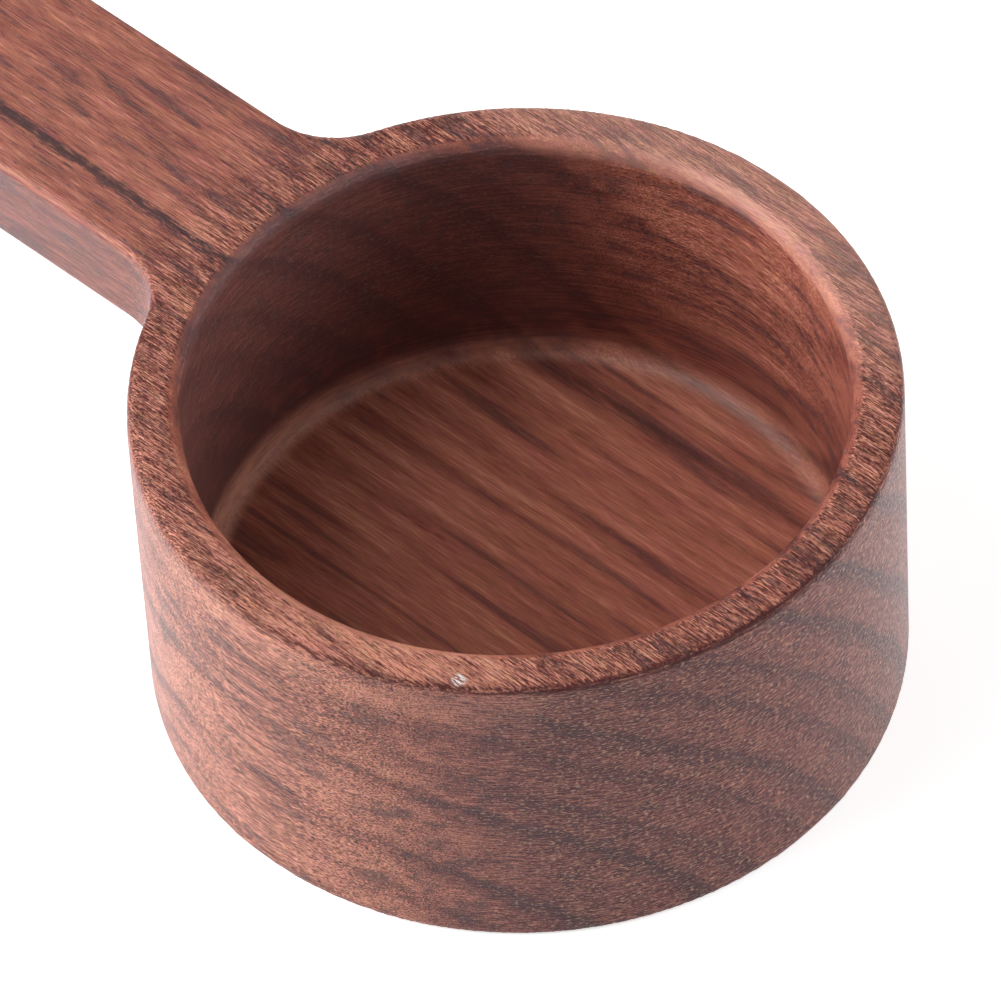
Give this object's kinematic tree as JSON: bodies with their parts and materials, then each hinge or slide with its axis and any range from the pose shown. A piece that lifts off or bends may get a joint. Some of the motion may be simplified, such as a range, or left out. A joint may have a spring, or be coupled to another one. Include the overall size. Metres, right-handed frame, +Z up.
{
  "type": "measuring spoon",
  "caption": "One-piece wooden measuring spoon: a straight-walled round cup with a flat floor and a flat handle flush with the rim, with a hanging hole near the tip.",
  "frame": {"origin": "centre of the cup's flat base, where it stands", "axes": "+Z up along the cup's axis, -X along the handle towards its tip, +Y across the handle"},
  "size_m": [0.1212, 0.0504, 0.025],
  "materials": {
    "oiled_walnut": "sanded and oiled, satin"
  },
  "bodies": {
    "root": {"measuring_spoon": "oiled_walnut"}
  },
  "joints": []
}
